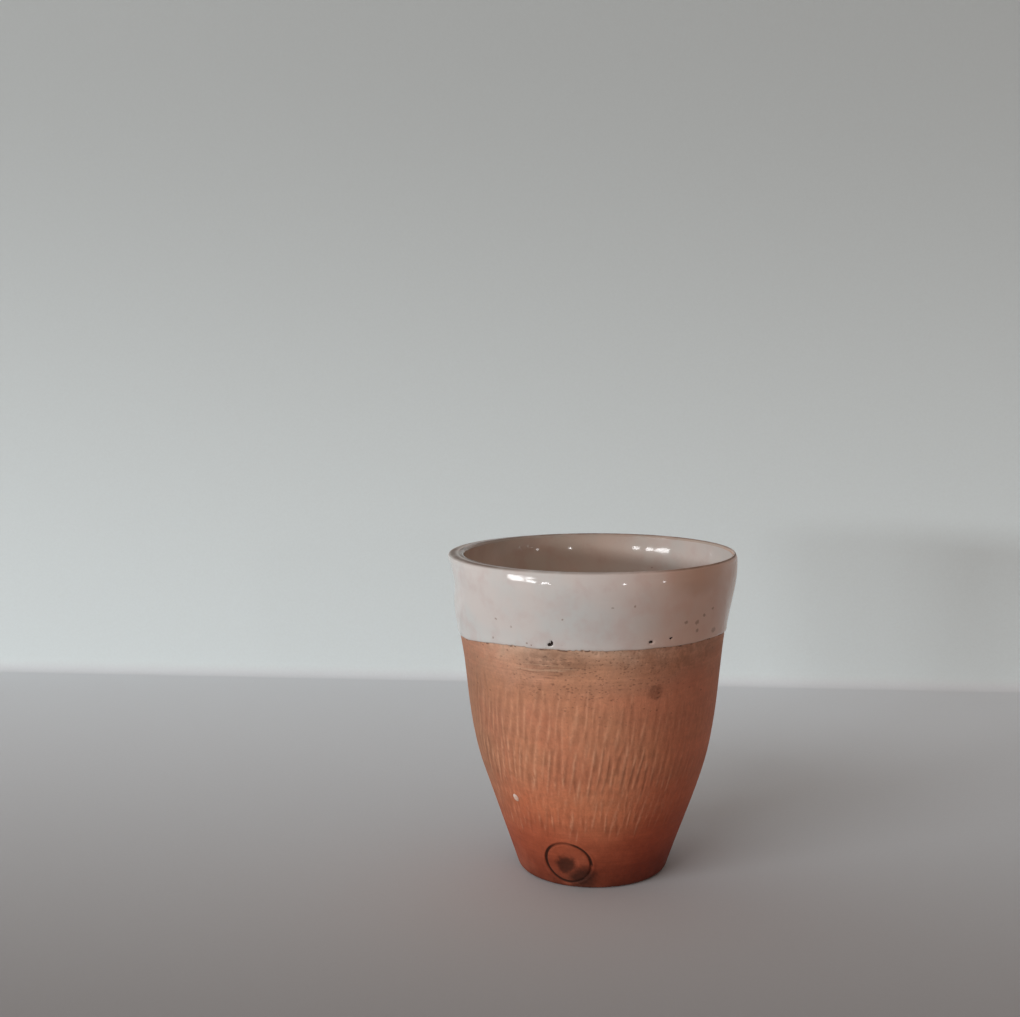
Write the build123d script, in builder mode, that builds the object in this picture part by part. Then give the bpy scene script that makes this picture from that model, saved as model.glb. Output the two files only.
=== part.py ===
from build123d import *

import os
from math import cos, radians, sin, tan

os.makedirs("parts", exist_ok=True)

# A thrown and turned earthenware cup without handles: one clay body, a glaze poured round its
# inside, and a glaze band that its lip was dipped into. Millimetres, axis on Z, foot on Z = 0.
# Each line below is half of the section through the axis: X is the radius and Y the height.

# Sizes of the whole cup
cup_height = 100.0        # table to the crest of the glazed lip
rim_diameter = 89.8       # over the glaze, at the widest place, just under the lip
foot_diameter = 46.2      # where the line of the turned wall meets the table

# Sizes of the clay wall
taper_angle = 18.8        # lean of the straight turned wall, from upright
knee_height = 33.0        # where the straight wall begins to bend upright
band_flare = 7.3          # how much wider the rim is than the clay at the dip line
waist_lean = 8.5          # lean of the wall at the dip line, from upright
lip_thickness = 3.2       # at the rim's widest place
wall_thickness = 3.5      # at the dip line
heel_thickness = 4.4      # at the knee, and down the straight wall

# Sizes of the lip: from a soft outer edge its top slopes up to a crest near the inner edge
lip_slope = 10.0          # of the top, from level
lip_outer_radius = 2.0
lip_inner_radius = 0.9

# Sizes of the bottom
floor_thickness = 5.4     # of the clay, over the recess
bowl_corner_radius = 14.0
recess_diameter = 34.0    # of the hollow turned under the foot
recess_depth = 1.2
recess_edge_radius = 1.5
foot_edge_radius = 2.0

# Sizes of the glaze
dip_depth = 22.8          # from the crest of the glazed lip to the dip line
band_glaze_thickness = 0.4
liner_glaze_thickness = 0.4

# Sizes of the blank seal: a pressed ring round a shallow dimple, low on the wall
seal_diameter = 13.6
seal_height = 9.3
seal_angle = 253.0        # round the axis from +X, a little left of the front
seal_ring_width = 0.9
seal_depth = 0.45
dimple_diameter = 7.0
dimple_depth = 0.4


def leaning(angle):
    """The upward direction that leans outwards from upright by the angle."""
    return Vector(sin(radians(angle)), cos(radians(angle)))


def inwards(angle):
    """The direction into the clay, square to a wall that leans outwards by the angle."""
    return Vector(-cos(radians(angle)), sin(radians(angle)))


# Places on the outside of the clay
foot_radius = foot_diameter / 2
foot = Vector(foot_radius, 0)
knee = Vector(foot_radius + knee_height * tan(radians(taper_angle)), knee_height)
waist = Vector((rim_diameter - band_flare) / 2, cup_height - dip_depth)

# The lip's two round edges, and the sloping top between them
lip_top_width = (
    lip_thickness
    - lip_outer_radius
    - lip_inner_radius
    + (lip_outer_radius - lip_inner_radius) * sin(radians(lip_slope))
) / cos(radians(lip_slope))
lip_inner_centre = Vector(
    rim_diameter / 2 - band_glaze_thickness - lip_thickness + lip_inner_radius,
    cup_height - band_glaze_thickness - lip_inner_radius,
)
lip_outer_centre = Vector(
    rim_diameter / 2 - band_glaze_thickness - lip_outer_radius,
    lip_inner_centre.Y
    - lip_top_width * sin(radians(lip_slope))
    - (lip_outer_radius - lip_inner_radius) * cos(radians(lip_slope)),
)
lip_edge = lip_inner_centre - (lip_inner_radius, 0)

# Places on the inside of the clay
inner_waist = waist + inwards(waist_lean) * wall_thickness
inner_knee = knee + inwards(taper_angle) * heel_thickness
floor_height = recess_depth + floor_thickness

# The outside below the dip line: the hollow under the foot, the foot and the bare wall
with BuildLine() as bare_wall:
    FilletPolyline(
        (0, recess_depth),
        (recess_diameter / 2 - recess_depth, recess_depth),
        (recess_diameter / 2, 0),
        foot,
        knee,
        radius=[recess_edge_radius, recess_edge_radius, foot_edge_radius],
    )
    Spline(knee, waist, tangents=[leaning(taper_angle), leaning(waist_lean)])


def lip_line(coat):
    """The line from the dip line over the lip to its inner edge, a coat's thickness off the clay."""
    root = lip_outer_centre + (lip_outer_radius + coat, 0)
    with BuildLine() as line:
        Spline(waist - inwards(waist_lean) * coat, root, tangents=[leaning(waist_lean), (0, 1)])
        outside = JernArc(root, (0, 1), lip_outer_radius + coat, 90 - lip_slope)
        top = Line(outside @ 1, outside @ 1 + (outside % 1) * lip_top_width)
        JernArc(top @ 1, top % 1, lip_inner_radius + coat, 90 + lip_slope)
    return line.line


def bowl_line(coat):
    """The line from the lip's inner edge down the inside to the axis, a coat's thickness off the clay."""
    upper = inner_waist + inwards(waist_lean) * coat
    lower = inner_knee + inwards(taper_angle) * coat
    middle = Vector(0, floor_height + coat)
    corner = Vector(lower.X - (lower.Y - middle.Y) * tan(radians(taper_angle)), middle.Y)
    with BuildLine() as line:
        Spline(lip_edge - (coat, 0), upper, tangents=[(0, -1), -leaning(waist_lean)])
        Spline(upper, lower, tangents=[-leaning(waist_lean), -leaning(taper_angle)])
        FilletPolyline(lower, corner, middle, radius=bowl_corner_radius - coat)
    return line.line


clay_lip = lip_line(0)
clay_bowl = bowl_line(0)
band_face = lip_line(band_glaze_thickness)
liner_face = bowl_line(liner_glaze_thickness)

# The seal lies on the straight wall and faces square out of it
seal_plane = Plane(
    origin=Vector(foot_radius + seal_height * tan(radians(taper_angle)), 0, seal_height).rotate(Axis.Z, seal_angle),
    x_dir=Vector(0, 1, 0).rotate(Axis.Z, seal_angle),
    z_dir=Vector(cos(radians(taper_angle)), 0, -sin(radians(taper_angle))).rotate(Axis.Z, seal_angle),
)

# The groove of the seal's ring: a skin of the straight wall, kept only under the ring
with BuildPart() as ring_groove:
    with BuildSketch(Plane.XZ):
        with BuildLine():
            Polyline(
                foot + inwards(taper_angle) * seal_depth,
                foot,
                (knee.X, 0),
                knee,
                knee + inwards(taper_angle) * seal_depth,
                close=True,
            )
        make_face()
    revolve(axis=Axis.Z)
    with BuildSketch(seal_plane):
        Circle(seal_diameter / 2)
        Circle(seal_diameter / 2 - seal_ring_width, mode=Mode.SUBTRACT)
    extrude(amount=seal_diameter / 2, both=True, mode=Mode.INTERSECT)

# The clay body, thrown and turned in one piece, with the seal pressed into it
with BuildPart() as clay_body:
    with BuildSketch(Plane.XZ):
        with BuildLine():
            add(bare_wall.line)
            add(clay_lip)
            add(clay_bowl)
            Line((0, floor_height), (0, recess_depth))
        make_face()
    revolve(axis=Axis.Z)
    add(ring_groove.part, mode=Mode.SUBTRACT)
    dimple_ball_radius = (dimple_diameter**2 / 4 + dimple_depth**2) / (2 * dimple_depth)
    with Locations(seal_plane.offset(dimple_ball_radius - dimple_depth)):
        Sphere(dimple_ball_radius, mode=Mode.SUBTRACT)
clay_body.part.label = "clay_body"

# The band of glaze that the lip was dipped into, which ends in a rounded edge at the dip line
with BuildPart() as dipped_glaze_band:
    with BuildSketch(Plane.XZ) as band_section:
        with BuildLine():
            add(clay_lip)
            add(band_face)
            Line(waist, waist - inwards(waist_lean) * band_glaze_thickness)
            Line(lip_edge, lip_edge - (band_glaze_thickness, 0))
        make_face()
        fillet(band_section.vertices().sort_by(Axis.Y)[0], radius=band_glaze_thickness / 2)
    revolve(axis=Axis.Z)
dipped_glaze_band.part.label = "dipped_glaze_band"

# The glaze that was poured round the inside, which meets the band at the lip's inner edge
with BuildPart() as poured_glaze_liner:
    with BuildSketch(Plane.XZ):
        with BuildLine():
            add(clay_bowl)
            add(liner_face)
            Line(lip_edge, lip_edge - (liner_glaze_thickness, 0))
            Line((0, floor_height), (0, floor_height + liner_glaze_thickness))
        make_face()
    revolve(axis=Axis.Z)
poured_glaze_liner.part.label = "poured_glaze_liner"

for piece in (clay_body, dipped_glaze_band, poured_glaze_liner):
    export_step(piece.part, f"parts/{piece.part.label}.step")
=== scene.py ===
import bpy
import numpy as np
from mathutils import Matrix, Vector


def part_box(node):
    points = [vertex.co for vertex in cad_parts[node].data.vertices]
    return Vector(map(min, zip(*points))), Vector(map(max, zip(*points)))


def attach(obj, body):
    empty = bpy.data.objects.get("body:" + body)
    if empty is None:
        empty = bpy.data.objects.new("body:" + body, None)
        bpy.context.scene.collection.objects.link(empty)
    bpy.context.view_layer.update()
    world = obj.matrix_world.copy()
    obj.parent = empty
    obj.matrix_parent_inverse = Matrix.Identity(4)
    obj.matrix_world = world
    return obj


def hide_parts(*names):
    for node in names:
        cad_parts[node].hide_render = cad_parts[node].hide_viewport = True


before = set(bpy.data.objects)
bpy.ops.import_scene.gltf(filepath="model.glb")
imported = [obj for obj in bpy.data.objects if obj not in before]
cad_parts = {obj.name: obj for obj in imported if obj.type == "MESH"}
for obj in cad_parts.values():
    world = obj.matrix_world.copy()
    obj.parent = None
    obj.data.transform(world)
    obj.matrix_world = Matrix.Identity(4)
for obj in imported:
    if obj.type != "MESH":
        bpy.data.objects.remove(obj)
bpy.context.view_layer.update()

# The clay body: red earthenware, thrown on the wheel, turned when leather hard, and fired. A springy tool
# left rows of chatter marks round its wall, and a blank seal, a ring round a dimple, is pressed in low on
# the front. Lengths are in metres, and places round the cup are angles from the front, to the right.

rim_radius, _, cup_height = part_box("dipped_glaze_band")[1]
coat = cup_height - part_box("clay_body")[1].z  # thickness of the glaze
floor_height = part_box("poured_glaze_liner")[0].z  # clay floor of the bowl
foot_radius = 0.0231
taper = np.radians(18.8)  # lean of the straight wall
knee_height = 0.0330  # where the straight wall begins to bend upright
dip_height = 0.0772  # where the glaze band ends
waist_radius = 0.04125  # of the clay at the dip line
waist_lean = np.radians(8.5)
wall_thickness = 0.0035  # at the dip line
heel_thickness = 0.0044  # at the knee
lip_thickness = 0.0025
lip_slope = np.radians(10.0)  # of the lip's top, up to its inner edge
lip_outer_radius = 0.0020
lip_inner_radius = 0.0005
bowl_corner_radius = 0.0140
recess_radius = 0.0170  # of the hollow under the foot
recess_depth = 0.0012
recess_edge_radius = 0.0015
foot_edge_radius = 0.0020


def leaning(angle):
    """The upward way that leans outwards from upright by the angle, as (radius, height)."""
    return np.array([np.sin(angle), np.cos(angle)])


def inwards(angle):
    """The way into the clay, square to an outer wall that leans by the angle."""
    return np.array([-np.cos(angle), np.sin(angle)])


def cubic(start, end, start_way, end_way, count=240):
    """A cubic curve from start to end that follows the way given at each, pulled by the chord's length."""
    t = np.linspace(0.0, 1.0, count)[:, None]
    pull = np.linalg.norm(end - start)
    leave = (2 * t**3 - 3 * t**2 + 1) * start + (t**3 - 2 * t**2 + t) * pull * start_way
    reach = (3 * t**2 - 2 * t**3) * end + (t**3 - t**2) * pull * end_way
    return leave + reach


def arc(centre, radius, first, last, count):
    """A round stretch: centre plus radius times (cosine, sine) of angles from first to last."""
    angles = np.linspace(first, last, count)
    return centre + radius * np.stack([np.cos(angles), np.sin(angles)], axis=1)


def turned(angle):
    """The same angle, brought to within half a turn of zero."""
    return (angle + np.pi) % (2 * np.pi) - np.pi


def fillet(before, corner, after, radius, count):
    """The arc that touches both legs of a corner: its centre is on their bisector, radius over sine away."""
    back = (before - corner) / np.linalg.norm(before - corner)
    on = (after - corner) / np.linalg.norm(after - corner)
    half = np.arccos(back @ on) / 2
    centre = corner + (back + on) / np.linalg.norm(back + on) * radius / np.sin(half)
    spokes = [corner + way * radius / np.tan(half) - centre for way in (back, on)]
    first, last = [np.arctan2(spoke[1], spoke[0]) for spoke in spokes]
    return arc(centre, radius, first, first + turned(last - first), count)


def measured(*stretches):
    """Joins stretches of (radius, height) points into one line: how far along each point lies, the points,
    and the way square out of the clay at each, which is the way along turned a quarter to the right."""
    points = np.concatenate(stretches)
    gaps = np.linalg.norm(np.diff(points, axis=0), axis=1)
    points = points[np.concatenate([[True], gaps > 1e-9])]
    along = np.concatenate([[0.0], np.cumsum(np.linalg.norm(np.diff(points, axis=0), axis=1))])
    way = np.gradient(points, along, axis=0)
    way = way / np.linalg.norm(way, axis=1, keepdims=True)
    return along, points, np.stack([way[:, 1], -way[:, 0]], axis=1)


def off_line(line, distance, lift):
    """Radius and height of the places at these distances along a line, lifted off it by lift."""
    along, points, normals = line
    radius, height, out, up = (np.interp(distance, along, part) for part in (*points.T, *normals.T))
    return radius + out * lift, height + up * lift


foot = np.array([foot_radius, 0.0])
knee = foot + knee_height * np.array([np.tan(taper), 1.0])
waist = np.array([waist_radius, dip_height])
recess_middle = np.array([0.0, recess_depth])
recess_edge = np.array([recess_radius, 0.0])
recess_corner = np.array([recess_radius - recess_depth, recess_depth])
radius_step = lip_outer_radius - lip_inner_radius
lip_top_width = lip_thickness - lip_outer_radius - lip_inner_radius + radius_step * np.sin(lip_slope)
lip_top_width = lip_top_width / np.cos(lip_slope)
lip_corner = np.array([rim_radius - lip_thickness, cup_height]) - coat
inner_centre = lip_corner + lip_inner_radius * np.array([1.0, -1.0])
shoulder_drop = lip_top_width * np.sin(lip_slope) + radius_step * np.cos(lip_slope)
outer_centre = np.array([rim_radius - coat - lip_outer_radius, inner_centre[1] - shoulder_drop])
lip_root = outer_centre + np.array([lip_outer_radius, 0.0])
lip_edge = inner_centre - np.array([lip_inner_radius, 0.0])
inner_waist = waist + inwards(waist_lean) * wall_thickness
inner_knee = knee + inwards(taper) * heel_thickness
bowl_middle = np.array([0.0, floor_height])
bowl_corner = np.array([inner_knee[0] - (inner_knee[1] - floor_height) * np.tan(taper), floor_height])

under_line = np.concatenate([
    [recess_middle, recess_middle + np.array([recess_radius / 2, 0.0])],
    fillet(recess_middle, recess_corner, recess_edge, recess_edge_radius, count=4),
    fillet(recess_corner, recess_edge, foot, recess_edge_radius, count=4),
    fillet(recess_edge, foot, knee, foot_edge_radius, count=6),
])
wall_line = measured(
    [under_line[-1]],
    [knee],
    cubic(knee, waist, leaning(taper), leaning(waist_lean)),
    cubic(waist, lip_root, leaning(waist_lean), leaning(0.0)),
    arc(outer_centre, lip_outer_radius, 0.0, np.pi / 2 - lip_slope, count=60),
    arc(inner_centre, lip_inner_radius, np.pi / 2 - lip_slope, np.pi, count=60),
)
bowl_line = measured(
    cubic(lip_edge, inner_waist, -leaning(0.0), -leaning(waist_lean)),
    cubic(inner_waist, inner_knee, -leaning(waist_lean), -leaning(taper)),
    fillet(inner_knee, bowl_corner, bowl_middle, bowl_corner_radius, count=60),
    [bowl_middle],
)
wall_end = wall_line[0][-1]
bowl_end = bowl_line[0][-1]
wall_crest = np.argmax(wall_line[1][:, 1])
rising_radius, rising_height = wall_line[1][:wall_crest].T


def wall_distance(height):
    """How far along the wall line a height of the wall lies, below the crest of the lip."""
    return np.interp(height, rising_height, wall_line[0][:wall_crest])


def wall_frame(around, height):
    """A place on the straight wall, and the ways right, up the wall and square out of it there: the level
    way out and the upright, mixed by sine and cosine of the taper."""
    level = np.array([np.sin(around), -np.cos(around), 0.0])
    upright = np.array([0.0, 0.0, 1.0])
    middle = (foot_radius + height * np.tan(taper)) * level + height * upright
    right = np.array([np.cos(around), np.sin(around), 0.0])
    up = np.sin(taper) * level + np.cos(taper) * upright
    return middle, right, up, np.cos(taper) * level - np.sin(taper) * upright


def ease(value, start, end):
    """Rises smoothly from 0 to 1 while the value goes from start to end: three squares less two cubes."""
    share = np.clip((value - start) / (end - start), 0.0, 1.0)
    return share**2 * (3 - 2 * share)


def hump(value, middle, reach):
    """A smooth hump, 1 at the middle and falling off over the reach: e to the minus square."""
    return np.exp(-(((value - middle) / reach) ** 2))


def drift(around, height, seed, most_around, most_up, waves=12):
    """A smooth random field, mostly between -1 and 1: a sum of sine waves of seeded phase, each with a whole
    number of waves round the cup and up to most_up waves to the metre up it."""
    draw = np.random.default_rng(seed)
    total = 0.0
    for _ in range(waves):
        turns = draw.integers(1, most_around + 1)
        climb = draw.uniform(-most_up, most_up) * 2 * np.pi
        total = total + np.sin(turns * around + climb * height + draw.uniform(0.0, 2 * np.pi))
    return total * np.sqrt(2.0 / waves) * 0.6


unround = 0.00010  # how far slow waves draw the rim in
unround_phases = (0.7, -1.1)
mouth_aside = 0.0017  # how far right of the axis the mouth lies
mouth_fade = (0.050, 0.094)
inner_face = (0.0002, 0.0024)  # how deep in the wall its inner face begins to count, and does fully
flat_around = np.radians(-94.0)  # the middle of the lip's square stretch
flat_reach = np.radians(36.0)
front_fade = (-0.2, 0.7)  # the front's edge and middle, as cosines
lip_power = 2.4  # of the lip's section as a superellipse
front_power = 3.8
flat_power = 6.0
shoulder_start = 0.0926  # above this the front leans in under the lip
shoulder_radius = 0.0255
neck_depth = 0.00155  # how far the wall is drawn in below the square stretch
neck_height = 0.0918
neck_reach = 0.0055
neck_end = (0.0970, 0.0990)
left_swell = 0.00060  # how far the wall stands out at the left of the dip line
left_swell_height = 0.0785
left_swell_reach = 0.0080
belly_swell = 0.00050  # how far it stands out low on the right
belly_around = np.radians(90.0)
belly_width = np.radians(50.0)
belly_height = 0.0260
belly_reach = 0.0130


def thrown(radius, height, around):
    """Carries section points round the axis, as uneven as a hand-made cup. The mouth lies a little to the
    right of the axis, so that the lip is thick at the left. The lip's section is a superellipse, squarest at
    the left over a slight neck, and the wall leans in under its front. Slow waves draw the rim in."""
    shoulder = outer_centre[1]
    crest = inner_centre[0]
    flat = hump(turned(around - flat_around), 0.0, flat_reach)
    front = ease(np.cos(around), *front_fade) * (1 - flat)
    wall = np.interp(np.minimum(height, shoulder), rising_height, rising_radius)
    inside = np.clip((wall - radius - inner_face[0]) / (inner_face[1] - inner_face[0]), 0.0, 1.0)
    across = np.clip((radius - crest) / (rim_radius - crest), 1e-6, None)
    up = np.clip((height - shoulder) / (cup_height - shoulder), 1e-6, None)
    power = lip_power + (flat_power - lip_power) * flat + (front_power - lip_power) * front
    swell = np.hypot(across, up) / (across**power + up**power) ** (1 / power)
    swell = np.where((radius > crest) & (height > shoulder), swell, 1.0)
    radius = crest + swell * (radius - crest)
    height = shoulder + swell * (height - shoulder)
    lean_in = np.clip(height - shoulder_start, 0.0, None) ** 2 / (2 * shoulder_radius)
    lean_in = lean_in * front * np.clip(across, 0.0, 1.0)
    neck = neck_depth * flat * hump(height, neck_height, neck_reach) * (1 - ease(height, *neck_end))
    belly = belly_swell * hump(turned(around - belly_around), 0.0, belly_width)
    belly = belly * hump(height, belly_height, belly_reach)
    out = left_swell * flat * hump(height, left_swell_height, left_swell_reach) + belly - neck
    aside = mouth_aside * np.sin(around) * inside * ease(height, *mouth_fade)
    slow = np.sin(2 * around + unround_phases[0]) + np.sin(3 * around + unround_phases[1])
    waves = unround * (height / cup_height) ** 4 * (2 + slow) / 4
    radius = radius + aside + out * (1 - inside) - lean_in - waves
    return np.stack([radius * np.sin(around), -radius * np.cos(around), height + 0 * around], axis=-1)


dip_level_middle = np.radians(14.0)  # the dip line is level about this place on the front
dip_level_reach = (np.radians(44.0), np.radians(88.0))
dip_sag = 0.0019  # how far it hangs lower round the back
dip_ripple = 0.00013
dip_bite = 0.00030  # ragged bites out of the front's left half
dip_bite_middle = np.radians(-18.0)
dip_bite_reach = np.radians(34.0)


def dip_edge(around):
    """Height of the glaze's lower edge: level at the front, lower round the back, with ripples and bites."""
    sag = dip_sag * ease(np.abs(turned(around - dip_level_middle)), *dip_level_reach)
    near = 1 - ease(np.abs(turned(around - dip_bite_middle)), 0.0, dip_bite_reach)
    ragged = np.clip(drift(around, 0.0, seed=31, most_around=150, most_up=0.0, waves=24), 0.0, None)
    ripple = drift(around, 0.0, seed=32, most_around=26, most_up=0.0)
    return dip_height + dip_ripple * ripple + dip_bite * ragged * near - sag


chatter_count = 94  # marks round the cup
chatter_depth = 0.00015
chatter_ridge_power = 2.6  # the higher, the narrower the ridges
chatter_lean = 0.17  # tops lean to the right
chatter_row_shift = 1.9  # from one row's phase to the next, in radians
chatter_wander = 1.4  # how far the phase wanders, in radians
chatter_mean = 0.60  # strength of a mark, and how much marks differ
chatter_uneven = 0.55
chatter_weakest = 0.08
chatter_ragged = 0.0030  # how unevenly a row begins and ends
chatter_fade = 0.0036
# Rows of marks, as the lower end, the upper end and the strength
chatter_rows = (
    (0.0450, 0.0645, 0.85),
    (0.0322, 0.0485, 1.35),
    (0.0252, 0.0350, 0.60),
    (0.0186, 0.0285, 0.95),
)
# Places where handling has worn the marks faint, as the angle, the reach and the share worn off
worn_places = ((-86.0, 22.0, 0.75), (60.0, 30.0, 0.75))


def chatter(around, height, radius):
    """The springing tool's marks, as two shares from 0 to 1: how much of the full depth it cut away, and
    where a ridge stands. Each row is a wave, chatter_count to the turn, with wide grooves, narrow ridges and
    a wandering phase and strength. The stronger of two rows counts, and worn places weaken both."""
    cut, ridge, left = 0.0, 0.0, 1.0
    for degrees, reach, share in worn_places:
        left = left - share * hump(turned(around - np.radians(degrees)), 0.0, np.radians(reach))
    for row, (low, high, strength) in enumerate(chatter_rows):
        start = low + chatter_ragged * drift(around, 0.0, 41 + row, most_around=90, most_up=0.0)
        end = high + chatter_ragged * drift(around, 0.0, 51 + row, most_around=90, most_up=0.0)
        inside = ease(height, start, start + chatter_fade) * (1 - ease(height, end - chatter_fade, end))
        lean = chatter_lean * (height - (low + high) / 2) / radius
        wander = chatter_wander * drift(around, height, 61 + row, most_around=30, most_up=40.0)
        phase = chatter_count * (around - lean) + chatter_row_shift * row + wander
        narrow = (0.5 + 0.5 * np.cos(phase)) ** chatter_ridge_power
        uneven = chatter_uneven * drift(around, height, 71 + row, most_around=110, most_up=110.0)
        uneven = strength * np.clip(chatter_mean + uneven, chatter_weakest, 1.0)
        cut = np.maximum(cut, inside * uneven * (1 - narrow))
        ridge = np.maximum(ridge, inside * uneven * narrow)
    return cut * left, ridge * left


seal_around = np.radians(-16.4)
seal_height = 0.0087
seal_radius = 0.0075
seal_depth = 0.00045
seal_ring_width = 0.0009
seal_ring_reach = 1 / 2.3  # of the ring's round bottom, in ring widths
seal_lip = 0.00012  # clay pushed up beside the ring
seal_lip_aside = 0.9  # from the ring's middle, in ring widths
seal_lip_reach = 1 / 2.2
dimple_radius = 0.0035
dimple_depth = 0.00040


def seal(around, height, radius):
    """Depth of the pressed seal: a round-bottomed ring, a low lip outside it, and a dimple like a ball's."""
    across = radius * np.sin(around - seal_around)
    up = (height - seal_height) / np.cos(taper)
    reach = np.where(np.cos(around - seal_around) > 0, np.hypot(across, up), 1.0)
    aside = (reach - seal_radius + seal_ring_width / 2) / seal_ring_width
    ring = seal_depth * hump(aside, 0.0, seal_ring_reach)
    lip = seal_lip * hump(aside, seal_lip_aside, seal_lip_reach)
    return ring - lip + dimple_depth * np.clip(1 - (reach / dimple_radius) ** 2, 0.0, None)


clay_columns = 640
front_share = 0.45  # how much closer the columns stand at the front
# Rings of the bare wall, as the height that each stretch ends at and the step from ring to ring
ring_stretches = ((0.0168, 0.00028), (0.0660, 0.00115), (0.0780, 0.00100))
first_ring_gap = 0.0003
hidden_rings = 6  # under the band
bowl_rings = 22  # under the liner
millimetres = 1000.0  # to the metre, for the fields that materials read
even_turn = np.linspace(-np.pi, np.pi, clay_columns, endpoint=False)[None, :]
clay_around = even_turn - front_share * np.sin(even_turn)
clay_heights = []
ring_start = under_line[-1, 1] + first_ring_gap
for ring_end, ring_step in ring_stretches:
    clay_heights.append(np.arange(ring_start, ring_end, ring_step))
    ring_start = ring_end
bare_distance = wall_distance(np.concatenate(clay_heights))
hidden_distance = np.linspace(bare_distance[-1], wall_end, hidden_rings + 1)[1:]
bare_radius, bare_height = off_line(wall_line, np.concatenate([bare_distance, hidden_distance]), 0.0)
bowl_radius, bowl_height = off_line(bowl_line, np.linspace(0.0, bowl_end, bowl_rings + 1)[1:], 0.0)
section_radius = np.concatenate([under_line[:, 0], bare_radius, bowl_radius])[:, None]
section_height = np.concatenate([under_line[:, 1], bare_height, bowl_height])[:, None]
on_wall = np.zeros_like(section_radius)
on_wall[len(under_line):len(under_line) + len(bare_distance)] = 1.0
groove, ridge = chatter(clay_around, section_height, np.maximum(section_radius, foot_radius))
sunk = on_wall * (chatter_depth * groove + seal(clay_around, section_height, section_radius))
clay_grid = thrown(section_radius - sunk, section_height, clay_around)
below_dip = millimetres * (dip_edge(clay_around) - section_height)


def skin(name, grid, loop, **fields):
    """One closed skin over a grid of rings: a quad between each four neighbours, round the rings and from
    ring to ring. A loop joins its last ring to its first. Otherwise the first and last rings are points, and
    become the two poles. Fields are numbers over the same grid, kept as attributes of the mesh."""
    rings, columns = grid.shape[:2]
    inner = slice(0, rings) if loop else slice(1, rings - 1)
    count = len(range(*inner.indices(rings)))
    index = np.arange(count * columns).reshape(count, columns)
    rows = np.concatenate([index, index[:1]]) if loop else index
    ahead = np.roll(rows, -1, axis=1)
    quads = np.stack([rows[:-1], ahead[:-1], ahead[1:], rows[1:]], axis=-1).reshape(-1, 4)

    def flat(values):
        """The values ring by ring, with those of the two poles last."""
        body = values[inner].reshape(-1, *values.shape[2:])
        return body if loop else np.concatenate([body, values[:1, 0], values[-1:, 0]])

    faces = quads.tolist()
    if not loop:
        first, last = np.full(columns, count * columns), np.full(columns, count * columns + 1)
        faces += np.stack([first, ahead[0], rows[0]], axis=-1).tolist()
        faces += np.stack([rows[-1], ahead[-1], last], axis=-1).tolist()
    mesh = bpy.data.meshes.new(name)
    mesh.from_pydata(flat(grid).tolist(), [], faces)
    for field, values in fields.items():
        spread = np.broadcast_to(values, grid.shape[:2]).astype(np.float32)
        mesh.attributes.new(field, "FLOAT", "POINT").data.foreach_set("value", flat(spread))
    mesh.shade_smooth()
    mesh.set_sharp_from_angle(angle=np.radians(50.0))
    piece = bpy.data.objects.new(name, mesh)
    bpy.context.scene.collection.objects.link(piece)
    return piece


clay = skin("turned_clay_body", clay_grid, False, groove=groove, ridge=ridge, below_dip=below_dip)


def srgb(red, green, blue):
    """A colour given in 0 to 255 as it looks on a screen, turned into the light that it stands for."""
    part = np.array([red, green, blue]) / 255
    light = np.where(part <= 0.04045, part / 12.92, ((part + 0.055) / 1.055) ** 2.4)
    return (*light.tolist(), 1.0)


def new_finish(name):
    """A new material, its node tree and the inputs of its shader."""
    made = bpy.data.materials.new(name)
    made.use_nodes = True
    return made, made.node_tree, made.node_tree.nodes["Principled BSDF"].inputs


# The node functions add to tree, the node tree of the finish or group in hand.


def join(socket, value):
    """Links a socket to an output, or sets it to a plain value."""
    if isinstance(value, bpy.types.NodeSocket):
        tree.links.new(value, socket)
    else:
        socket.default_value = value


def node(kind, inputs, **settings):
    """Adds a shader node of a kind with these settings, and sets or links its inputs by name or number."""
    made = tree.nodes.new("ShaderNode" + kind)
    for name, value in settings.items():
        setattr(made, name, value)
    for key, value in inputs.items():
        join(made.inputs[key], value)
    return made


def number(operation, first, second=0.0, third=0.0):
    """One step of arithmetic on values over the surface."""
    return node("Math", {0: first, 1: second, 2: third}, operation=operation).outputs[0]


def vector(operation, inputs, output=0):
    """One step of arithmetic on places."""
    return node("VectorMath", inputs, operation=operation).outputs[output]


def rising(value, start, end):
    """A mask that goes smoothly from 0 to 1 while the value goes from start to end."""
    inputs = {"Value": value, "From Min": start, "From Max": end, "To Min": 0.0, "To Max": 1.0}
    return node("MapRange", inputs, interpolation_type="SMOOTHSTEP").outputs[0]


def all_of(*masks):
    """The product of masks."""
    product = masks[0]
    for mask in masks[1:]:
        product = number("MULTIPLY", product, mask)
    return product


def between(value, *edges):
    """A mask that is 1 between two edges of a value, each given as where it is 0 and where it is 1."""
    return all_of(*(rising(value, *edge) for edge in edges))


def tint(share, first, second, way="MIX"):
    """Goes from the first colour to the second by a share."""
    inputs = {0: share, 6: first, 7: second}
    return node("Mix", inputs, data_type="RGBA", blend_type=way).outputs[2]


def stained(colour, stain, *masks):
    """Lays a stain, which is red, green, blue and strength, over a colour by the product of masks."""
    *parts, strength = stain
    return tint(all_of(*masks, strength), colour, srgb(*parts))


def shaded(colour, value, depth):
    """Makes a colour darker and lighter with a value: times one plus depth for each unit from a half."""
    factor = number("MULTIPLY_ADD", value, depth, 1 - depth / 2)
    grey = node("CombineColor", {0: factor, 1: factor, 2: factor}).outputs[0]
    return tint(1.0, colour, grey, "MULTIPLY")


def kept_in(value, mask):
    """A value from 0 to 1 that goes to a plain half where a mask ends."""
    return number("MULTIPLY_ADD", number("SUBTRACT", value, 0.5), mask, 0.5)


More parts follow.
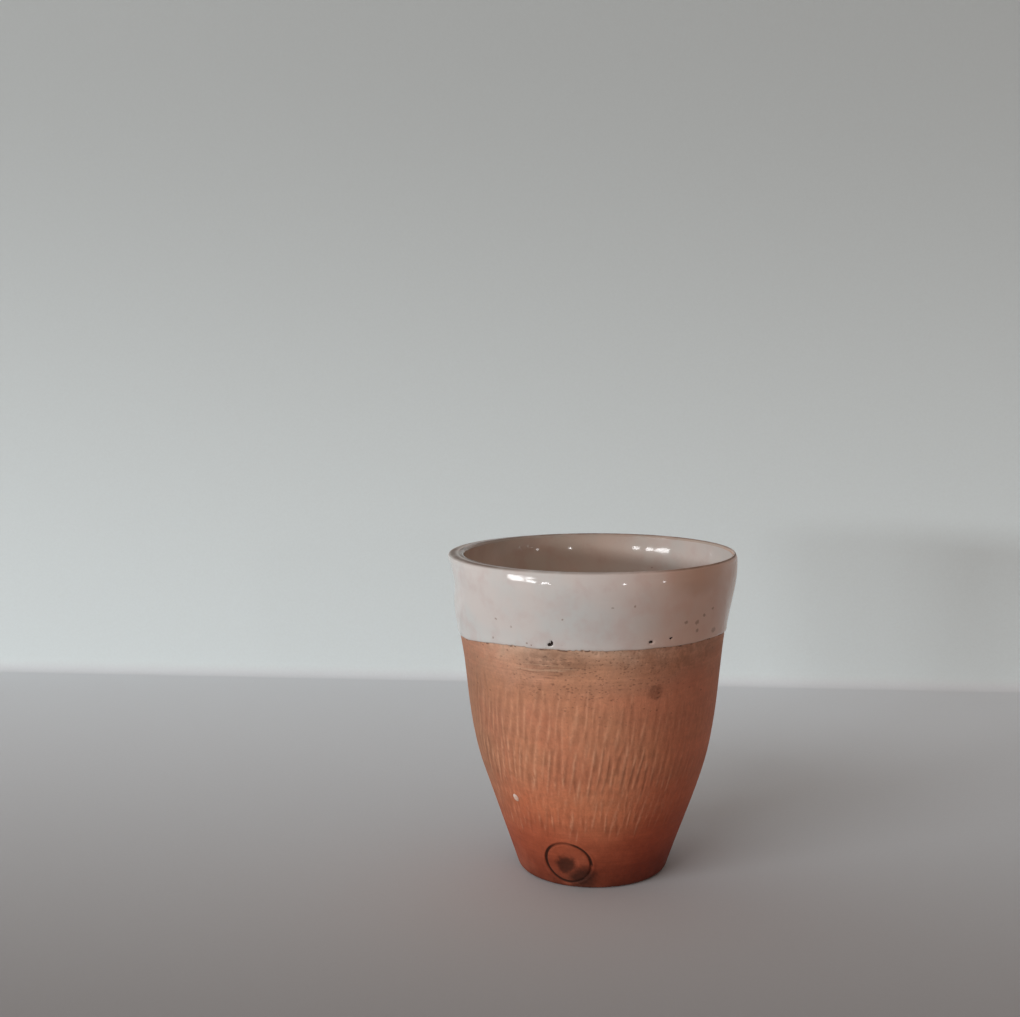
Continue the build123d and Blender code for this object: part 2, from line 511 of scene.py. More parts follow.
def wavered(value, field, swing):
    """A value moved by a random field from 0 to 1, by half a swing each way."""
    return number("MULTIPLY_ADD", field, swing, number("ADD", value, -swing / 2))


def colours_along(value, *stops):
    """A colour that changes with a value, through stops of (value, red, green, blue)."""
    made = node("ValToRGB", {0: value})
    elements = made.color_ramp.elements
    while len(elements) < len(stops):
        elements.new(1.0)
    for element, (position, *parts) in zip(elements, stops):
        element.position = position
        element.color = srgb(*parts)
    return made.outputs[0]


def noise(place, size, detail=3.0, roughness=0.55):
    """Random patches about size metres across: a size is a plain length, or one for each of X, Y and Z."""
    sizes = np.broadcast_to(size, 3)
    scaled = node("Mapping", {"Vector": place, "Scale": (1 / sizes).tolist()})
    inputs = {"Vector": scaled.outputs[0], "Scale": 1.0, "Detail": detail, "Roughness": roughness}
    return node("TexNoise", inputs).outputs[0]


def attribute(name):
    """One of the piece's own fields."""
    return node("Attribute", {}, attribute_name=name).outputs["Fac"]


def surface_place():
    """The place in the cup's own frame, and its X, Y and Z apart."""
    place = node("TexCoord", {}).outputs["Object"]
    return place, *node("SeparateXYZ", {0: place}).outputs


def angle_from_front(x, y):
    """The angle round the cup's axis from the front, to the right, in radians."""
    return number("ARCTAN2", x, number("MULTIPLY", y, -1.0))


def spot(around, height, radius, mark):
    """A soft round mask on a wall of this radius: 1 at a mark's middle and 0 from its edge on. A mark is the
    angle of its middle in degrees, its height, its half width and its half height."""
    degrees, middle, wide, tall = mark
    across = number("MULTIPLY_ADD", around, radius / wide, -np.radians(degrees) * radius / wide)
    up = number("MULTIPLY_ADD", height, 1 / tall, -middle / tall)
    squares = number("MULTIPLY_ADD", across, across, number("MULTIPLY", up, up))
    return rising(squares, 1.0, 0.0)


def bumped(relief):
    """The surface's normal under a relief given in millimetres."""
    return node("Bump", {"Height": relief, "Distance": 0.001, "Strength": 1.0}).outputs[0]


# Specks are shared by the clay and the glaze: grains of iron that burst or bled in the kiln. They are the
# ragged cores of scattered cells, kept where the cell's own random number is low. Flatness presses them.
speck_ragged = 0.22  # how far a speck's edge is drawn aside, in cells
speck_smallest = 0.35
iron_specks = tree = bpy.data.node_groups.new("iron_specks", "ShaderNodeTree")
for label in ("Spacing", "Size", "Share", "Flatness"):
    iron_specks.interface.new_socket(label, in_out="INPUT", socket_type="NodeSocketFloat")
iron_specks.interface.new_socket("Mask", in_out="OUTPUT", socket_type="NodeSocketFloat")
given = iron_specks.nodes.new("NodeGroupInput").outputs
cell_place = surface_place()[0]
pressing = node("CombineXYZ", {0: 1.0, 1: 1.0, 2: given["Flatness"]}).outputs[0]
pressed = vector("MULTIPLY", {0: cell_place, 1: pressing})
cell_scale = number("DIVIDE", 1.0, given["Spacing"])
spread = vector("SCALE", {0: pressed, "Scale": cell_scale})
rough = node("TexNoise", {"Vector": spread, "Scale": 5.0, "Detail": 2.0})
ragged = vector("MULTIPLY_ADD", {0: rough.outputs["Color"], 1: (speck_ragged,) * 3, 2: spread})
cells = node("TexVoronoi", {"Vector": ragged, "Scale": 1.0})
cell_draw = node("SeparateColor", {0: cells.outputs["Color"]}).outputs
cell_reach = number("MULTIPLY", given["Size"], number("ADD", cell_draw[1], speck_smallest))
cell_edge = number("DIVIDE", cells.outputs["Distance"], cell_reach)
cell_kept = number("LESS_THAN", cell_draw[0], given["Share"])
specks_out = iron_specks.nodes.new("NodeGroupOutput").inputs
join(specks_out["Mask"], all_of(rising(cell_edge, 1.0, 0.35), cell_kept))


def specks(spacing, size, share, flatness=1.0):
    """Places the specks in a material: metres between them, their size as a share of it, the share kept."""
    inputs = {"Spacing": spacing, "Size": size, "Share": share, "Flatness": flatness}
    return node("Group", inputs, node_tree=iron_specks).outputs["Mask"]


# Colours of the clay from the foot up to the dip line
clay_by_height = (
    (0.00, 98, 45, 29),
    (0.08, 128, 60, 40),
    (0.20, 159, 81, 55),
    (0.36, 185, 107, 75),
    (0.55, 194, 127, 97),
    (0.80, 194, 136, 108),
    (0.93, 198, 152, 126),
    (1.00, 208, 173, 149),
)
right_shade_tint = srgb(253, 230, 224)
pit_brown = (78, 50, 38)
# Stains, painted light and shade, and marks, in the forms that stained and spot take
tan_stain = (190, 136, 102, 0.35)
left_painted_shade = (142, 104, 80, 0.58)
front_painted_light = (226, 152, 112, 0.26)
red_stain = (192, 112, 84, 0.25)
ridge_tint_and_light = (226, 172, 140, 0.42)
dip_stain = (126, 90, 68, 0.55)
rubbed_stain = (112, 86, 68, 0.52)
smudge_stain = (*pit_brown, 0.40)
pore_stain = (*pit_brown, 0.80)
dark_scratch_stain = (*pit_brown, 0.60)
pale_scratch_stain = (220, 184, 156, 0.50)
dip_edge_shadow = (*pit_brown, 0.75)
wash_stain = (34, 21, 16, 0.88)
front_light_mark = (1.0, 0.0440, 0.0340, 0.0340)
dip_mark = (37.0, 0.0750, 0.0270, 0.0095)
rubbed_mark = (-15.0, 0.0733, 0.0150, 0.0052)
smudge_mark = (27.0, 0.0640, 0.0034, 0.0026)
pore_mark = (0.0, 0.0695, 0.0360, 0.0140)
scratch_mark = (-20.0, 0.0708, 0.0130, 0.0030)
# Edges of the painted shade on the two sides, in radians, and of the rows of chatter marks
left_shade_side = ((-0.62, -1.15), (-2.60, -1.70))
right_shade_side = ((0.10, 0.75), (2.40, 1.40))
chatter_zone = ((0.017, 0.026), (0.069, 0.058))

fired_clay, tree, shader = new_finish("fired_clay")
place, x, y, height = surface_place()
around = angle_from_front(x, y)
broad = noise(place, 0.017)
patches = noise(place, 0.0060, detail=4.0, roughness=0.6)
mottle = noise(place, 0.0024, detail=4.0, roughness=0.65)
grain = noise(place, 0.0009, roughness=0.7)
bands = noise(place, (0.060, 0.060, 0.0050), detail=2.0)
streaks = noise(place, (0.0008, 0.0008, 0.0060), roughness=0.6)
turning = noise(place, (0.022, 0.022, 0.0007), roughness=0.6)
cut = attribute("groove")
ridge = attribute("ridge")
below = attribute("below_dip")
in_rows = between(height, *chatter_zone)
ring_lines = kept_in(turning, number("SUBTRACT", 1.0, in_rows))

level = wavered(number("MULTIPLY", height, 1 / dip_height), patches, 0.10)
colour = colours_along(level, *clay_by_height)
colour = stained(colour, tan_stain, rising(broad, 0.46, 0.66), rising(height, 0.022, 0.040))
# Painted shade: the left flank, turned away from the key light, is made darker and tan.
colour = stained(colour, left_painted_shade, between(around, *left_shade_side), rising(height, 0.010, 0.035))
# Painted shade: the clay's right side is made redder and darker, the way a shaded side looks.
colour = tint(between(around, *right_shade_side), colour, right_shade_tint, "MULTIPLY")
# Painted light: a lighter, warmer patch over the middle of the front.
colour = stained(colour, front_painted_light, spot(around, height, waist_radius, front_light_mark))
colour = shaded(colour, bands, 0.45)
colour = stained(colour, red_stain, rising(broad, 0.50, 0.32))
# The clay's own lighter ridges and darker grooves, strengthened by painted shade in the grooves and painted
# light on the ridges.
colour = shaded(colour, number("SUBTRACT", 1.0, cut), 0.22)
colour = stained(colour, ridge_tint_and_light, ridge, rising(streaks, 0.28, 0.60))
colour = shaded(colour, mottle, 0.42)
colour = shaded(colour, kept_in(streaks, in_rows), 0.30)
colour = shaded(colour, ring_lines, 0.34)

dip_zone = spot(around, height, waist_radius, dip_mark)
colour = stained(colour, dip_stain, dip_zone, rising(mottle, 0.30, 0.66))
rubbed_zone = spot(around, height, waist_radius, rubbed_mark)
colour = stained(colour, rubbed_stain, rubbed_zone, rising(mottle, 0.28, 0.60))
smudge_height = wavered(height, mottle, 0.0090)
colour = stained(colour, smudge_stain, spot(around, smudge_height, waist_radius, smudge_mark))

pore_zone = spot(around, height, waist_radius, pore_mark)
fine_pores = specks(spacing=0.0010, size=0.52, share=0.60, flatness=1.9)
fine_pores = all_of(fine_pores, pore_zone, rising(patches, 0.34, 0.50), 0.46)
small_pores = specks(spacing=0.0019, size=0.26, share=0.34, flatness=1.5)
small_pores = all_of(small_pores, rising(height, 0.048, 0.062), 0.52)
pores = number("MAXIMUM", fine_pores, small_pores)
colour = stained(colour, pore_stain, pores)

scratch_zone = spot(around, height, waist_radius, scratch_mark)
scratch_lines = noise(place, (0.016, 0.016, 0.00050), detail=2.0)
dark_scratch = all_of(rising(scratch_lines, 0.60, 0.68), scratch_zone)
pale_scratch = all_of(rising(scratch_lines, 0.42, 0.36), scratch_zone)
colour = stained(colour, dark_scratch_stain, dark_scratch)
colour = stained(colour, pale_scratch_stain, pale_scratch)

# Painted shadow: dark dashes on the clay just below the glaze band's edge.
shadow_dashes = rising(noise(place, 0.0020, detail=2.0), 0.54, 0.64)
colour = stained(colour, dip_edge_shadow, rising(below, 0.60, 0.10), shadow_dashes)

# The seal holds the rest of a dark wash. Its places are given right of the seal's middle and up the wall.
faint_place = (-0.0014, 0.0066)  # where the ring's wash is rubbed faint
open_place = (0.0062, -0.0033)  # where it is rubbed off
pool_place = (-0.0006, -0.0009)  # where the wash pooled in the dimple
smear_place = (0.0038, -0.0052)  # where it was smeared towards the foot
seal_middle, seal_right, seal_up, _ = (way.tolist() for way in wall_frame(seal_around, seal_height))
from_seal = vector("SUBTRACT", {0: place, 1: seal_middle})
seal_x = vector("DOT_PRODUCT", {0: from_seal, 1: seal_right}, "Value")
seal_y = vector("DOT_PRODUCT", {0: from_seal, 1: seal_up}, "Value")


def seal_distance(right=0.0, up=0.0):
    """How far each place on the clay lies from a place in the seal's plane: the root of two squares."""
    aside = number("SUBTRACT", seal_x, right)
    above = number("SUBTRACT", seal_y, up)
    squares = number("MULTIPLY_ADD", aside, aside, number("MULTIPLY", above, above))
    return number("SQRT", squares)


ring_aside = number("SUBTRACT", seal_distance(), seal_radius - seal_ring_width / 2)
faint = number("MULTIPLY_ADD", rising(seal_distance(*faint_place), 0.0015, 0.0050), 0.50, 0.50)
rubbed_off = rising(seal_distance(*open_place), 0.0016, 0.0032)
in_ring = rising(number("ABSOLUTE", ring_aside), 0.00066, 0.00026)
ring_wash = all_of(in_ring, faint, rubbed_off)
pool_edge = number("MULTIPLY_ADD", mottle, 0.0040, seal_distance(*pool_place))
pool_wash = all_of(rising(pool_edge, 0.0064, 0.0038), 0.86)
smear_edge = number("MULTIPLY_ADD", mottle, 0.0036, seal_distance(*smear_place))
smear_wash = all_of(rising(smear_edge, 0.0080, 0.0036), 0.88)
wash = number("MAXIMUM", ring_wash, number("MAXIMUM", pool_wash, smear_wash))
colour = stained(colour, wash_stain, wash, rising(around, 0.35, 0.15))
colour = shaded(colour, grain, 0.40)
join(shader["Base Color"], colour)
join(shader["Roughness"], number("MULTIPLY_ADD", grain, 0.25, 0.55))
shader["Specular IOR Level"].default_value = 0.30

# Relief too fine for the mesh, in millimetres
clay_relief = (
    (grain, 0.050),
    (mottle, 0.090),
    (ring_lines, 0.050),
    (all_of(streaks, in_rows), 0.060),
    (pores, -0.14),
    (dark_scratch, -0.07),
)
relief = 0.0
for field, depth in clay_relief:
    relief = number("MULTIPLY_ADD", field, depth, relief)
join(shader["Normal"], bumped(relief))
clay.data.materials.append(fired_clay)
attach(clay, "root")
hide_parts("clay_body")

# The poured glaze liner: white glaze, swirled round the inside of the raw cup and poured out, then fused on
# in the kiln. It follows the throwing rings that fingers left in the clay, and ends at the lip's inner edge.

glaze_sink = 0.00006  # how far a coat's hidden face lies in the clay
throwing_rise = 0.0072  # from one throwing ring to the next
throwing_depth = 0.00011
throwing_drift = 0.5  # how unevenly the rings were thrown
throwing_most = 1.4
settled_top = (0.004, 0.014)  # below the lip, the rings begin over this stretch
settled_middle = (0.004, 0.012)  # and they end over this one before the middle of the floor
liner_columns = 480
liner_around = np.linspace(-np.pi, np.pi, liner_columns, endpoint=False)[None, :]
liner_face = np.linspace(0.0, 1.0, 92)[:, None] * bowl_end
liner_back = np.linspace(1.0, 0.0, 22)[:, None] * bowl_end
throwing = np.sin(2 * np.pi * liner_face / throwing_rise - liner_around)
throwing = throwing + throwing_drift * drift(liner_around, liner_face, seed=81, most_around=5, most_up=90.0)
settled = ease(liner_face, *settled_top) * ease(bowl_end - liner_face, *settled_middle)
face_lift = coat + throwing_depth * settled * np.clip(throwing, -throwing_most, throwing_most)
face_radius, face_height = off_line(bowl_line, liner_face + 0 * liner_around, face_lift)
back_radius, back_height = off_line(bowl_line, liner_back + 0 * liner_around, -glaze_sink)
liner_grid = np.concatenate([
    thrown(back_radius, back_height, liner_around),
    thrown(face_radius, face_height, liner_around),
])
liner = skin("poured_glaze_liner_skin", liner_grid, False)

glaze_warm = srgb(223, 216, 212)
glaze_cool = srgb(216, 217, 215)
pink_stain = (213, 197, 193, 0.55)
speck_stain = (122, 92, 76, 0.40)

# The glaze's body is shared by both coats: soft warm, cool and pink patches, small iron specks, and a slow
# ripple in its gloss. Its relief is in millimetres.
glaze_body = tree = bpy.data.node_groups.new("glaze_body", "ShaderNodeTree")
for label, kind in (("Color", "Color"), ("Roughness", "Float"), ("Relief", "Float")):
    glaze_body.interface.new_socket(label, in_out="OUTPUT", socket_type="NodeSocket" + kind)
place = surface_place()[0]
broad = noise(place, 0.020)
small = noise(place, 0.0065)
fine = noise(place, 0.0018, detail=2.0)
colour = tint(rising(broad, 0.36, 0.64), glaze_warm, glaze_cool)
colour = stained(colour, pink_stain, rising(small, 0.44, 0.72))
colour = stained(colour, speck_stain, specks(spacing=0.0052, size=0.075, share=0.22))
ripple = 0.0
for field, depth in ((broad, 0.12), (small, 0.030), (fine, 0.005)):
    ripple = number("MULTIPLY_ADD", field, depth, ripple)
glaze_out = glaze_body.nodes.new("NodeGroupOutput").inputs
join(glaze_out["Color"], colour)
join(glaze_out["Roughness"], number("MULTIPLY_ADD", small, 0.08, 0.04))
join(glaze_out["Relief"], ripple)

# The poured coat is thinner than the dipped one and the clay warms it; painted shade darkens its shaded left
# side.
liner_left_shade = srgb(226, 208, 195)
liner_right_warmth = srgb(238, 234, 232)
liner_glaze, tree, shader = new_finish("liner_glaze")
body = node("Group", {}, node_tree=glaze_body).outputs
# Painted shade: the liner goes darker and warmer towards the left.
liner_warmth_and_shade = tint(rising(surface_place()[1], -0.010, 0.042), liner_left_shade, liner_right_warmth)
join(shader["Base Color"], tint(1.0, body["Color"], liner_warmth_and_shade, "MULTIPLY"))
join(shader["Roughness"], body["Roughness"])
join(shader["Normal"], bumped(body["Relief"]))
liner.data.materials.append(liner_glaze)
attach(liner, "root")
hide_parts("poured_glaze_liner")

# The dipped glaze band: the lip was dipped upside down into the same glaze, which ends in a soft roll at the
# dip line. It ran thin on the lip's edges, where the clay shows brown, and lost chips near its lower edge.

roll_length = 0.00050  # over which the edge rounds up from the clay
roll_swell = 0.22  # extra thickness above the edge
roll_swell_above = 1.0  # millimetres above the edge, and how far the swelling reaches
roll_swell_reach = 1.1
uneven_coat = 0.07  # how much the thickness drifts, from a little above the edge on
uneven_start = (0.5, 3.0)
lip_zone = 0.006  # this far below the lip the coat is nowhere thicker
chip_edge = (0.55, 1.25)  # over which a chip's floor rises to the glaze
chip_depth = 0.85
dip_shift_fade = 0.0140  # above the edge by this, the rows lie level
band_columns = 720
band_around = np.linspace(-np.pi, np.pi, band_columns, endpoint=False)[None, :]
waist_distance = wall_distance(dip_height)
lip_start = wall_distance(lip_root[1])
roll_turn = np.linspace(0.0, np.pi / 2, 6)
roll_rows = waist_distance + roll_length * (1 - np.cos(roll_turn))
face_rows = np.linspace(roll_rows[-1], lip_start, 54)[1:]
lip_rows = np.linspace(lip_start, wall_end, 34)[1:]
band_rows = np.concatenate([roll_rows, face_rows, lip_rows])[:, None]
back_rows = np.linspace(wall_end, waist_distance, 20)[:, None]
full_lift = np.concatenate([np.sin(roll_turn), np.ones(len(face_rows) + len(lip_rows))])[:, None]


def shifted(rows):
    """Rows near the dip line follow its waves: each moves by the wave, less the higher it lies."""
    share = np.clip(1 - (rows - waist_distance) / dip_shift_fade, 0.0, 1.0) ** 2
    return rows + (dip_edge(band_around) - dip_height) * share


# Chips, as marks in the form that spot takes. The first two run into one.
chips = (
    (-15.9, 0.07925, 0.00045, 0.00095),
    (-16.8, 0.07880, 0.00070, 0.00050),
    (23.6, 0.07930, 0.00085, 0.00048),
    (32.5, 0.07985, 0.00050, 0.00036),
    (118.0, 0.07840, 0.00070, 0.00050),
    (171.0, 0.07730, 0.00060, 0.00045),
)
above_waist = shifted(band_rows)
band_radius, band_height = off_line(wall_line, above_waist, coat)
chip = 0.0
for degrees, middle, wide, tall in chips:
    aside = turned(band_around - np.radians(degrees))
    reach = np.hypot(aside * band_radius / wide, (band_height - middle) / tall)
    chip = np.maximum(chip, 1 - ease(reach, *chip_edge))
above_edge = millimetres * (band_height - dip_edge(band_around))
thickness = 1 + roll_swell * hump(above_edge, roll_swell_above, roll_swell_reach)
drifting = drift(band_around, band_height, seed=91, most_around=18, most_up=70.0)
thickness = thickness + uneven_coat * drifting * ease(above_edge, *uneven_start)
thickness = np.where(band_height > lip_root[1] - lip_zone, np.minimum(thickness, 1.0), thickness)
band_lift = coat * full_lift * thickness * (1 - chip_depth * chip)
band_radius, band_height = off_line(wall_line, above_waist, band_lift)
hidden_radius, hidden_height = off_line(wall_line, shifted(back_rows), -glaze_sink)
band_grid = np.concatenate([
    thrown(band_radius, band_height, band_around),
    thrown(hidden_radius, hidden_height, band_around),
])
hidden_zero = np.zeros((len(back_rows), band_columns))
band = skin(
    "dipped_glaze_band_skin",
    band_grid,
    True,
    below_crest=millimetres * (wall_line[0][wall_crest] - np.concatenate([band_rows, back_rows])),
    chip=np.concatenate([chip, hidden_zero]),
    above_edge=np.concatenate([above_edge, hidden_zero]),
)

inner_roll_shade = srgb(214, 200, 190)
chip_brown = srgb(38, 26, 22)
iron_brown = (140, 104, 84)
# Stains, painted shade and marks, in the forms that stained and spot take
warm_shade = (231, 162, 122, 0.55)
bleed_stain = (186, 140, 112, 0.36)
thin_stain = (112, 86, 68, 0.88)
iron_stain = (*iron_brown, 0.58)
freckle_stain = (*iron_brown, 0.85)
edge_stain = (196, 174, 156, 0.55)
bleed_mark = (45.0, 0.0974, 0.0155, 0.0070)
freckle_mark = (-21.0, dip_height + 0.0006, 0.0095, 0.0022)
iron_marks = (
    (-43.4, 0.0788, 0.00045, 0.00045),
    (-40.3, 0.0849, 0.00060, 0.00050),
    (-33.0, 0.0831, 0.00035, 0.00035),
    (-11.1, 0.0865, 0.00040, 0.00040),
    (15.8, 0.0904, 0.00045, 0.00045),
    (38.9, 0.0841, 0.00100, 0.00075),
    (45.1, 0.0835, 0.00125, 0.00080),
    (46.0, 0.0809, 0.00090, 0.00060),
    (48.9, 0.0852, 0.00095, 0.00060),
    (54.0, 0.0868, 0.00090, 0.00050),
    (58.3, 0.0797, 0.00190, 0.00100),
)
# Edges round the cup, in radians, and across the lip, in millimetres below its crest
warm_shade_side = ((-0.05, 0.85), (2.10, 1.40))
thin_left = ((-0.40, -0.80), (-2.10, -1.60))
thin_right = ((0.35, 0.80), (2.10, 1.60))
outer_lip = ((0.35, 0.95), (1.90, 1.15))
inner_lip = ((-0.60, -0.15), (0.40, 0.05))
matte_lip = ((-0.30, 0.20), (2.40, 1.30))

band_glaze, tree, shader = new_finish("band_glaze")
body = node("Group", {}, node_tree=glaze_body).outputs
place, x, y, height = surface_place()
around = angle_from_front(x, y)
ragged = noise(place, 0.0008, detail=2.0, roughness=0.6)
uneven = noise(place, 0.0060)
below = attribute("below_crest")
above = attribute("above_edge")
# Painted shade: the lip's inner roll, past its crest, is made darker and warmer.
colour = tint(rising(below, 0.10, -0.40), body["Color"], inner_roll_shade, "MULTIPLY")
# Painted shade: the band's right side, turned away from the key light, is made warmer and darker.
colour = stained(colour, warm_shade, between(around, *warm_shade_side))
bleed_height = wavered(height, uneven, 0.0030)
colour = stained(colour, bleed_stain, spot(around, bleed_height, rim_radius, bleed_mark))
sides = number("ADD", between(around, *thin_left), between(around, *thin_right))
sides = number("MULTIPLY_ADD", sides, 0.45, 0.55)
thin_outside = all_of(between(below, *outer_lip), sides)
thin = number("MAXIMUM", thin_outside, between(below, *inner_lip))
colour = stained(colour, thin_stain, thin, rising(uneven, 0.05, 0.62))
iron_height = wavered(height, ragged, 0.0012)
for mark in iron_marks:
    colour = stained(colour, iron_stain, spot(around, iron_height, rim_radius, mark))
freckle_zone = spot(around, height, rim_radius, freckle_mark)
freckles = specks(spacing=0.0011, size=0.34, share=0.55)
colour = stained(colour, freckle_stain, freckles, freckle_zone)
colour = stained(colour, edge_stain, rising(above, 0.55, 0.05))
chipped = wavered(attribute("chip"), ragged, 1.3)
colour = tint(rising(chipped, 0.42, 0.58), colour, chip_brown)
join(shader["Base Color"], colour)
join(shader["Roughness"], number("MULTIPLY_ADD", between(below, *matte_lip), 0.42, body["Roughness"]))
join(shader["Normal"], bumped(body["Relief"]))
band.data.materials.append(band_glaze)
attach(band, "root")
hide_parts("dipped_glaze_band")

# The glaze drop: a spatter of the same glaze that fell on the bare clay, low on the left of the front, and
# fused there as a small bead, longer than it is wide.

drop_around = np.radians(-44.4)
drop_height = 0.0283
drop_half_width = 0.00095
drop_half_length = 0.00130
drop_turn = np.radians(28.0)  # its upper end leans to the left
drop_rise = 0.00050
drop_sink = 0.00008  # how deep its edge lies in the clay, and its hidden bottom
drop_bottom = 0.00030
drop_columns = 40
drop_middle, drop_right, drop_up, drop_out = wall_frame(drop_around, drop_height)
long_way = np.cos(drop_turn) * drop_up - np.sin(drop_turn) * drop_right
cross_way = np.cos(drop_turn) * drop_right + np.sin(drop_turn) * drop_up
dome = np.linspace(0.0, np.pi / 2, 12)
drop_share = np.concatenate([[0.0, 0.9], np.cos(dome)])[:, None]
drop_lift = np.concatenate([[-drop_bottom, -drop_bottom], drop_rise * np.sin(dome) - drop_sink])[:, None]
drop_spin = np.linspace(0.0, 2 * np.pi, drop_columns, endpoint=False)[None, :]
drop_grid = (
    drop_middle
    + (drop_half_width * drop_share * np.cos(drop_spin))[..., None] * cross_way
    + (drop_half_length * drop_share * np.sin(drop_spin))[..., None] * long_way
    + (drop_lift + 0 * drop_spin)[..., None] * drop_out
)
drop = skin("glaze_drop", drop_grid, False)

peach_tint = srgb(226, 182, 156)
drop_glaze, tree, shader = new_finish("drop_glaze")
body = node("Group", {}, node_tree=glaze_body).outputs
thin = rising(noise(surface_place()[0], 0.0012, detail=2.0), 0.30, 0.70)
join(shader["Base Color"], tint(thin, body["Color"], peach_tint))
join(shader["Roughness"], body["Roughness"])
drop.data.materials.append(drop_glaze)
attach(drop, "root")

# The stage: a plain pale sheet that lies as the floor, turns up in a tight cove behind the cup and stands as
# the backdrop. Painted shade darkens it towards the camera and towards its top.

stage_depth = 0.240  # from the cup's axis back to the backdrop
stage_turn = np.radians(-3.1)
cove_radius = 0.006
stage_half_width = 3.0
stage_front = -3.0
stage_top = 2.4
cove = arc(np.array([stage_depth - cove_radius, cove_radius]), cove_radius, -np.pi / 2, 0.0, count=8)
sheet_line = np.concatenate([[[stage_front, 0.0]], cove, [[stage_depth, stage_top]]])
sheet_depth, sheet_height = sheet_line.T[..., None]
sheet_width = np.linspace(-stage_half_width, stage_half_width, 3)[None, :]
sheet_x = sheet_width * np.cos(stage_turn) - sheet_depth * np.sin(stage_turn)
sheet_y = sheet_width * np.sin(stage_turn) + sheet_depth * np.cos(stage_turn)
sheet_points = np.stack([sheet_x, sheet_y, sheet_height + 0 * sheet_width], axis=-1)
sheet_index = np.arange(sheet_x.size).reshape(sheet_x.shape)
sheet_corners = (sheet_index[:-1, :-1], sheet_index[:-1, 1:], sheet_index[1:, 1:], sheet_index[1:, :-1])
sheet_faces = np.stack(sheet_corners, axis=-1).reshape(-1, 4)
sheet_mesh = bpy.data.meshes.new("pale_sheet")
sheet_mesh.from_pydata(sheet_points.reshape(-1, 3).tolist(), [], sheet_faces.tolist())
sheet_mesh.shade_smooth()
sheet = bpy.data.objects.new("pale_sheet", sheet_mesh)
bpy.context.scene.collection.objects.link(sheet)

floor_near_shade = srgb(118, 111, 108)
floor_far = srgb(232, 240, 246)
wall_foot = srgb(231, 242, 244)
wall_top_shade = srgb(196, 204, 205)
fibre_stain = (160, 156, 152, 0.10)
pale_paper, tree, shader = new_finish("pale_paper")
place, _, depth, height = surface_place()
# Painted shade: the floor darkens towards the camera and the backdrop towards its top.
floor_paper = tint(rising(depth, -0.34, 0.20), floor_near_shade, floor_far)
wall_paper = tint(rising(height, 0.02, 0.34), wall_foot, wall_top_shade)
paper = tint(rising(height, 0.0, cove_radius), floor_paper, wall_paper)
paper = stained(paper, fibre_stain, noise(place, 0.0012))
join(shader["Base Color"], paper)
shader["Roughness"].default_value = 0.9
sheet_mesh.materials.append(pale_paper)

# The light: a low, wide window of three panes to the left of the camera is the key, with a dim stretch of
# sky high over it. Both are hidden from the glaze, where a dimmer copy of the panes shows instead. The room
# gives a weak warm fill, and two small far lamps only show as sparks.

window_around = np.radians(-45.0)
glint_around = np.radians(-49.5)
glint_share = 0.30  # of the panes' light, in the copy that shows in the glaze
lamp_distance = 2.5
window_span = (0.28, 0.43)  # lower and upper edge
window_power = 163.0  # watts to the square metre
daylight = (0.97, 0.99, 1.0)
# Panes, as how far right of the window's middle each stands, and its width
panes = ((-0.520, 0.62), (0.045, 0.32), (0.600, 0.28))
sky_span = (1.50, 3.00)
sky_width = 2.00
sky_power = 20.0
sky_around = np.radians(-32.0)
# Far lamps, as the angle from the front, the height and the power
far_lamps = ((25.0, 0.40, 0.7), (57.0, 0.33, 0.35))
far_lamp_size = 0.07
room_colour = (1.0, 0.70, 0.56, 1.0)
room_strength = 0.26


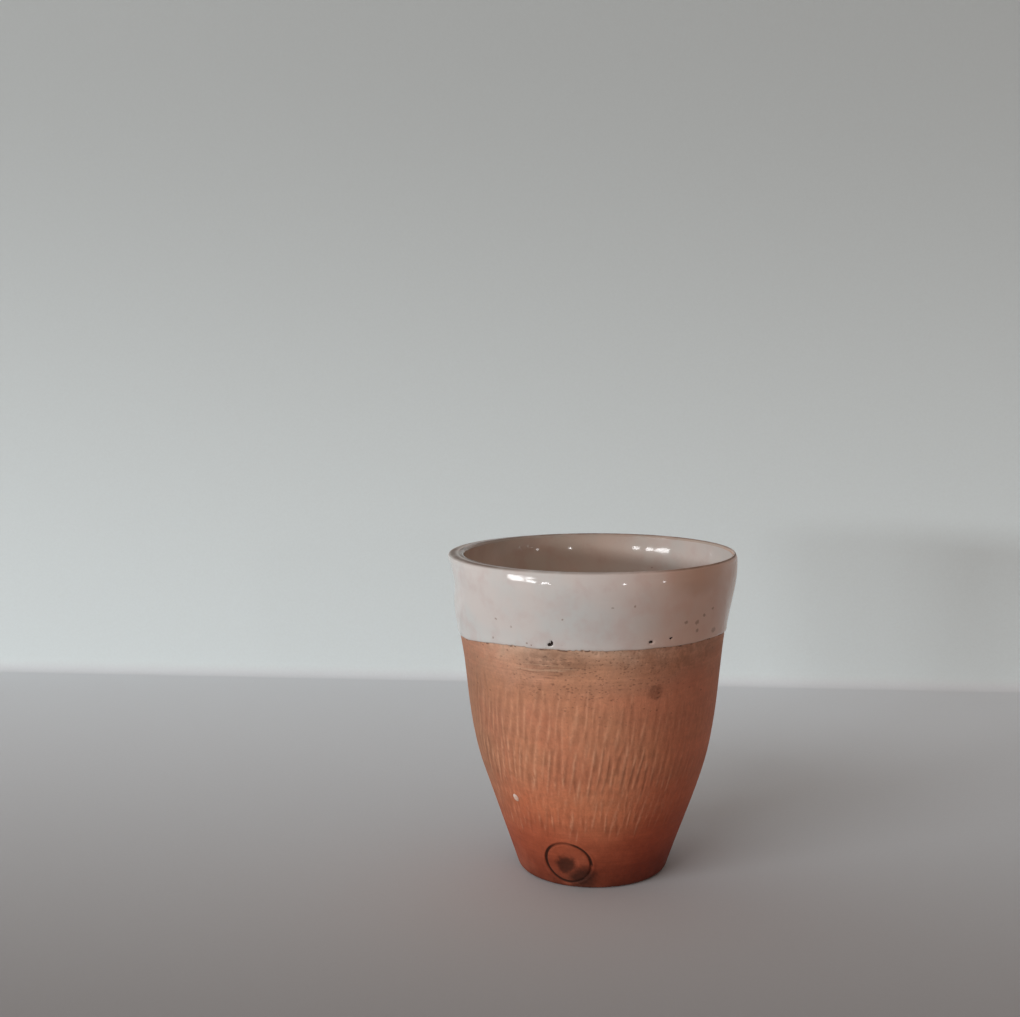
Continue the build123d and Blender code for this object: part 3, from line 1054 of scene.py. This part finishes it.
def aimed_lamp(name, around, aside, span, wide, power):
    """A lamp at an angle round the cup's axis, lamp_distance off and moved right by aside, shining in."""
    low, high = span
    lamp = bpy.data.lights.new(name, "AREA")
    lamp.shape = "RECTANGLE"
    lamp.size = wide
    lamp.size_y = high - low
    lamp.energy = power
    lamp.color = daylight
    standing = bpy.data.objects.new(name, lamp)
    moved = Matrix.Translation((aside, -lamp_distance, (low + high) / 2))
    standing.matrix_world = Matrix.Rotation(around, 4, "Z") @ moved @ Matrix.Rotation(np.pi / 2, 4, "X")
    bpy.context.scene.collection.objects.link(standing)
    return standing


for index, (aside, wide) in enumerate(panes):
    pane_power = window_power * wide * (window_span[1] - window_span[0])
    key_power, glint_power = (1 - glint_share) * pane_power, glint_share * pane_power
    pane = aimed_lamp(f"window_pane_{index}", window_around, aside, window_span, wide, key_power)
    pane.visible_glossy = False
    aimed_lamp(f"pane_glint_{index}", glint_around, aside, window_span, wide, glint_power)
dim_sky = aimed_lamp("dim_sky", sky_around, 0.0, sky_span, sky_width, sky_power)
dim_sky.visible_glossy = False
for index, (degrees, middle, power) in enumerate(far_lamps):
    span = (middle - far_lamp_size / 2, middle + far_lamp_size / 2)
    aimed_lamp(f"far_lamp_{index}", np.radians(degrees), 0.0, span, far_lamp_size, power)

room = bpy.data.worlds.new("room")
room.use_nodes = True
room_light = room.node_tree.nodes["Background"].inputs
room_light["Color"].default_value = room_colour
room_light["Strength"].default_value = room_strength
bpy.context.scene.world = room

# The camera stands in front of the cup and a little above its rim, and looks slightly down and to the left
# of it. Its place, angles and lens are fitted to the cup's outline.

camera_place = (0.0, -0.420, 0.16036)
camera_yaw = np.radians(-3.478)  # to the right of straight ahead
camera_pitch = np.radians(6.385)  # down
camera_roll = np.radians(-0.400)
camera_lens = 47.982  # millimetres, with the sensor's width
camera_sensor = 36.0
camera_nearest = 0.01
camera_data = bpy.data.cameras.new("camera")
camera_data.sensor_fit = "HORIZONTAL"
camera_data.sensor_width = camera_sensor
camera_data.lens = camera_lens
camera_data.clip_start = camera_nearest
camera = bpy.data.objects.new("camera", camera_data)
camera.matrix_world = (
    Matrix.Translation(camera_place)
    @ Matrix.Rotation(-camera_yaw, 4, "Z")
    @ Matrix.Rotation(np.pi / 2 - camera_pitch, 4, "X")
    @ Matrix.Rotation(camera_roll, 4, "Z")
)
bpy.context.scene.collection.objects.link(camera)
bpy.context.scene.camera = camera
bpy.context.scene.view_settings.view_transform = "Standard"
